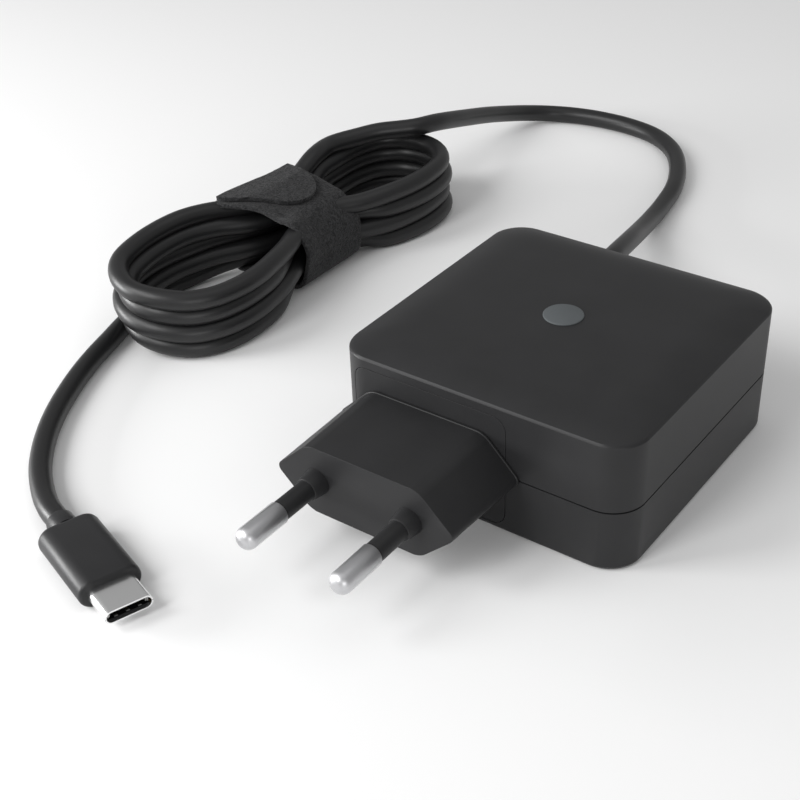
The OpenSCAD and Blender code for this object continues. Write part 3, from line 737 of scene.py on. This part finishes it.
def make_band():
    bm = bmesh.new()
    bm.faces.new([bm.verts.new((x * MM, z * MM, 0)) for x, z in STRAP])
    bmesh.ops.bevel(bm, geom=bm.verts[:], offset=1.7 * MM, segments=8, profile=0.5, affect="VERTICES",
                    material=-1)
    longest = [e for e in bm.edges if e.calc_length() > 2 * MM]
    bmesh.ops.subdivide_edges(bm, edges=longest, cuts=9)
    bmesh.ops.delete(bm, geom=bm.faces[:], context="FACES_ONLY")
    rows, edges = 20, bm.edges[:]
    for row in range(rows):
        made = bmesh.ops.extrude_edge_only(bm, edges=edges)["geom"]
        edges = [item for item in made if isinstance(item, bmesh.types.BMEdge)]
        verts = [item for item in made if isinstance(item, bmesh.types.BMVert)]
        bmesh.ops.translate(bm, vec=(0, 0, -STRAP_W / rows * MM), verts=verts)
    bmesh.ops.recalc_face_normals(bm, faces=bm.faces)
    # (x, z) of the section and the length along the hank become x, y and z
    move(bm, at(0, STRAP_MID - STRAP_W / 2, 0) @ TO_FRONT)
    bmesh.ops.recalc_face_normals(bm, faces=bm.faces)
    bmesh.ops.solidify(bm, geom=bm.faces[:], thickness=STRAP_T * MM)
    rims = [e for e in bm.edges if abs(e.verts[0].co.y - e.verts[1].co.y) < 0.01 * MM
            and min(abs(e.verts[0].co.y / MM - STRAP_MID + s * STRAP_W / 2) for s in (-1, 1)) < 0.01
            and e.calc_face_angle(0) > 1]
    bmesh.ops.bevel(bm, geom=rims, offset=0.3 * MM, segments=3, profile=0.5, affect="EDGES", material=-1,
                    clamp_overlap=True)
    bm.normal_update()
    for vert, normal in [(v, v.normal.copy()) for v in bm.verts]:
        vert.co += normal * min(fuzz(vert, 0.12, 1.1), 0.0)
        vert.co.y += fuzz(vert, 0.12, 1.7)
        vert.co.z = max(vert.co.z, 0)
        skew(vert)
    return finish("strap_band", bm, strap_felt, "charger", ["cable_strap"], 60)


band = make_band()
print("strap band:", len(band.data.polygons), "faces")

# %% [markdown]
# ## The tongue of the strap
# The strap's free end comes over the top and is pressed down on the band, and it peels up on a joint. A
# grid is shaped to its outline and given its thickness. It rides on no body and stays where it is made.

# %% Tongue
def make_tongue():
    root_x, mid_x, reach, near_y, far_y, thick = -92.5, -87.2, 7.2, 38.6, 53.2, 0.85
    fall = (STRAP_TOP - STRAP[3][1]) / (STRAP[3][0] - STRAP_TOP_X)
    bm = bmesh.new()
    bmesh.ops.create_grid(bm, x_segments=36, y_segments=40, size=0.5)
    for vert in bm.verts:
        u, v = vert.co.x + 0.5, 2 * vert.co.y
        # the end is a half circle, and the near edge bows in from the full width of the band
        end_x = mid_x + reach * math.sqrt(max(1 - v * v, 0))
        x = root_x + (end_x - root_x) * u
        flare = 1 - ease((x - root_x) / 9)
        low, high = near_y - 2.4 * flare, far_y + 0.8 * flare
        y = (low + high) / 2 + v * (high - low) / 2
        vert.co = Vector((x, y, STRAP_TOP + 0.25 - fall * max(x - STRAP_TOP_X, 0))) * MM
    bmesh.ops.remove_doubles(bm, verts=bm.verts, dist=0.01 * MM)
    for face in bm.faces:
        if face.normal.z < 0:
            face.normal_flip()
    bm.normal_update()
    bmesh.ops.solidify(bm, geom=bm.faces[:], thickness=-thick * MM)
    bm.normal_update()
    rims = [e for e in bm.edges if e.calc_face_angle(0) > 1]
    bmesh.ops.bevel(bm, geom=rims, offset=0.26 * MM, segments=3, profile=0.5, affect="EDGES", material=-1,
                    clamp_overlap=True)
    bm.normal_update()
    for vert, normal in [(v, v.normal.copy()) for v in bm.verts]:
        vert.co += normal * min(fuzz(vert, 0.1, 1.1), 0.0)
        skew(vert)
    piece = finish("strap_tongue", bm, strap_felt, None, ["strap_tab"], 60)
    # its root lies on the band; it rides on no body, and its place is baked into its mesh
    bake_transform(piece)
    return piece


tongue = make_tongue()
print("strap tongue:", len(tongue.data.polygons), "faces")

# %% [markdown]
# ## The USB-C plug
# The overmould is an oval bar with softly rounded ends. The steel shell is drawn from one sheet, so it is
# a thin oval tube with a fine rim, and a black liner with the contacts sits inside it. The plug could be
# modelled where it lies; it is drawn along its own axis instead and then laid on the table by one matrix.

# %% Plug on the table
PLUG_AT = Vector((-53.4, -52.9, 2.7)) * MM
YAW = math.radians(-19.5)
MOULD_LEN, SHELL_IN, SHELL_OUT = 17.6, 7.0, 6.6
FORWARD = Matrix(((0, 0, 1), (1, 0, 0), (0, 1, 0))).to_4x4()
ON_PLUG = Matrix.Translation(PLUG_AT) @ Matrix.Rotation(YAW, 4, "Z") @ FORWARD


def make_overmould():
    steps = [(0.95, 0), (0.6, 0.08), (0.3, 0.28), (0.1, 0.6), (0, 1.1), (0, MOULD_LEN - 0.7),
             (0.06, MOULD_LEN - 0.4), (0.2, MOULD_LEN - 0.14), (0.42, MOULD_LEN)]
    bm, _ = tower(11, 5.4, 2.699, steps, 16)
    return finish("overmould_bar", move(bm, ON_PLUG), mould_plastic, "charger", ["usb_overmould"],
                  30)


def make_collar():
    profile = [(2.1, 0.3), (2.6, 0.3), (2.6, -0.1), (2.5, -2.9), (2.42, -3.12), (2.3, -3.2), (2.1, -3.2)]
    return finish("collar_ring", move(turned(profile, 48, True), ON_PLUG), mould_plastic, "charger",
                  ["usb_collar"], 30)


def make_shell():
    bm, face = plate(8.34, 2.56, 1.279, 14)
    bmesh.ops.inset_region(bm, faces=[face], thickness=0.3 * MM, use_even_offset=True, use_boundary=True)
    bmesh.ops.delete(bm, geom=[face], context="FACES_ONLY")
    bmesh.ops.translate(bm, vec=(0, 0, (MOULD_LEN - SHELL_IN) * MM), verts=bm.verts)
    made = bmesh.ops.extrude_face_region(bm, geom=bm.faces[:])["geom"]
    bmesh.ops.translate(bm, vec=(0, 0, (SHELL_IN + SHELL_OUT) * MM),
                        verts=[item for item in made if isinstance(item, bmesh.types.BMVert)])
    outward(bm)
    shell = finish("steel_shell", move(bm, ON_PLUG), shell_steel, "charger", ["usb_shell"],
                   30)
    round_edges(shell, 0.07, 3, 60)
    return shell


print("overmould:", MOULD_LEN, "mm, shell standing out:", SHELL_OUT, "mm")

# %% Parts inside the shell
def refine(node_name, material, edge=0.06, body="charger"):
    """A mechanical part welded into one skin, with its flat faces whole and its edges finely rounded."""
    bm = bmesh.new()
    bm.from_mesh(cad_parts[node_name].data)
    bmesh.ops.remove_doubles(bm, verts=bm.verts, dist=0.004 * MM)
    bmesh.ops.dissolve_limit(bm, angle_limit=math.radians(0.6), verts=bm.verts, edges=bm.edges,
                             delimit={"NORMAL"})
    piece = finish(node_name + "_refined", bm, material, body, [node_name])
    round_edges(piece, edge)
    return piece


plug_pieces = [make_overmould(), make_collar(), make_shell(),
               refine("usb_insulator", liner_plastic, 0.04),
               refine("usb_contacts", gold_plate, 0.02),
               refine("usb_ground_springs", spring_steel, 0.03),
               refine("usb_latch_left", spring_steel, 0.03, "latch_left"),
               refine("usb_latch_right", spring_steel, 0.03, "latch_right")]
print("plug:", [piece.name for piece in plug_pieces])

# %% [markdown]
# ## Inside the case
# The parts on the board are seen only when the case is opened. They could be modelled again, but their
# mechanical shapes are already those of real cans, rings and blocks. So they keep them and get the
# materials that they are known by: green solder mask, brown ceramic, yellow and blue epoxy, dark ferrite,
# enamelled copper, each with a grain at its own scale.

# %% Materials of the inside
def dress(names, material):
    for name in names:
        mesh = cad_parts[name].data
        mesh.materials.clear()
        mesh.materials.append(material)


# light colour, dark colour, grain in mm, roughness, metallic, parts
INSIDE = {
    "brass_strip_stamped": ("#b5965a", "#a08248", 0.15, 0.3, 1.0,
                            ["contact_strip_left", "contact_strip_right"]),
    "circuit_board_solder_mask": ("#2f6041", "#27543a", 1.2, 0.35, 0.0,
                                  ["main_board", "output_board", "usb_board"]),
    "ceramic_fuse_tube": ("#8c6f52", "#7d6248", 0.3, 0.5, 0.0, ["fuse"]),
    "epoxy_varistor_blue": ("#2f5d8a", "#28517a", 0.4, 0.35, 0.0, ["varistor"]),
    "film_capacitor_case_yellow": ("#c7a63a", "#b99a34", 0.3, 0.4, 0.0, ["x_capacitor"]),
    "ceramic_disc_epoxy_blue": ("#3a78a8", "#326b98", 0.4, 0.35, 0.0, ["y_capacitor"]),
    "ferrite_sintered": ("#3b3b3d", "#2e2e30", 0.2, 0.6, 0.0, ["choke_core", "transformer_core"]),
    "copper_wire_enamelled": ("#a8623a", "#8f4f2c", 0.35, 0.3, 1.0,
                              ["choke_windings", "transformer_winding"]),
    "chip_epoxy_moulded": ("#232325", "#1c1c1e", 0.15, 0.55, 0.0,
                           ["bridge_rectifier", "switching_transistor", "controller_chip", "optocoupler",
                            "sync_rectifier", "pd_chip"]),
    "capacitor_sleeve_pvc": ("#2a2d3a", "#232631", 0.5, 0.35, 0.0,
                             ["bulk_capacitors", "output_capacitors"]),
    "aluminium_sheet_rolled": ("#b9bbbd", "#a9abad", 0.12, 0.35, 1.0,
                               ["primary_heat_sink", "heat_spreader"]),
    "nylon_bobbin_black": ("#2c2c2e", "#242426", 0.3, 0.5, 0.0, ["transformer_bobbin"]),
    "polyester_film_amber": ("#c9a65a", "#bb9850", 2.0, 0.3, 0.0, ["insulation_sheet"]),
    "silicone_pad_grey": ("#8f9498", "#84898d", 0.4, 0.8, 0.0, ["thermal_pad"]),
    "wire_jacket_red_black": ("#8a2b2b", "#772424", 0.4, 0.45, 0.0, ["output_wires"]),
    "tinned_can_crimped": ("#b0b2b4", "#a2a4a6", 0.12, 0.3, 1.0, ["usb_back_shell"]),
}
for name, (light, dark, size_mm, rough, metallic, names) in INSIDE.items():
    material, tree, principled = shader(name, light, Roughness=rough, Metallic=metallic)
    grain(tree, principled, size_mm, size_mm / 12, 0.4, light, dark, (rough, rough + 0.1))
    dress(names, material)
print("inside parts dressed:", sum(len(row[-1]) for row in INSIDE.values()))

# %% [markdown]
# ## Table and light
# A plain pale table and five soft boxes, as for a catalogue picture. Dark satin plastic shows its shape
# only by what it reflects, so the boxes stand where the edges, the cord and the pin tips can see them.

# %% Table and lights
def soft_box(name, place, size, power, target=(-20, 20, 10)):
    light = bpy.data.lights.new(name, "AREA")
    light.shape = "RECTANGLE"
    light.size, light.size_y = size[0] * MM, size[1] * MM
    light.energy = power
    lamp = bpy.data.objects.new(name, light)
    lamp.location = Vector(place) * MM
    lamp.rotation_euler = (Vector(target) * MM - lamp.location).to_track_quat("-Z", "Y").to_euler()
    bpy.context.collection.objects.link(lamp)
    return lamp


def make_table():
    bm = bmesh.new()
    bmesh.ops.create_grid(bm, x_segments=1, y_segments=1, size=2.0)
    mesh = bpy.data.meshes.new("table")
    bm.to_mesh(mesh)
    bm.free()
    table = bpy.data.objects.new("table", mesh)
    mesh.materials.append(shader("table_pale_laminate", "#f4f4f4", Roughness=0.8)[0])
    bpy.context.collection.objects.link(table)
    return table


make_table()
world = bpy.data.worlds.new("studio")
world.use_nodes = True
world.node_tree.nodes["Background"].inputs["Color"].default_value = paint("#ffffff")
world.node_tree.nodes["Background"].inputs["Strength"].default_value = 0.38
bpy.context.scene.world = world
for side in (-1, 1):
    soft_box(f"key_{side + 1}", (-260 + side * 130, -420 - side * 80, 420), (190, 320), 1.5)
soft_box("top", (60, 120, 620), (520, 520), 0.4)
soft_box("side", (430, -380, 190), (260, 200), 0.7)
soft_box("low", (-430, -230, 80), (200, 120), 1.8, (-90, 20, 12))
bpy.context.scene.view_settings.view_transform = "Standard"
print("lights:", len(bpy.data.lights))
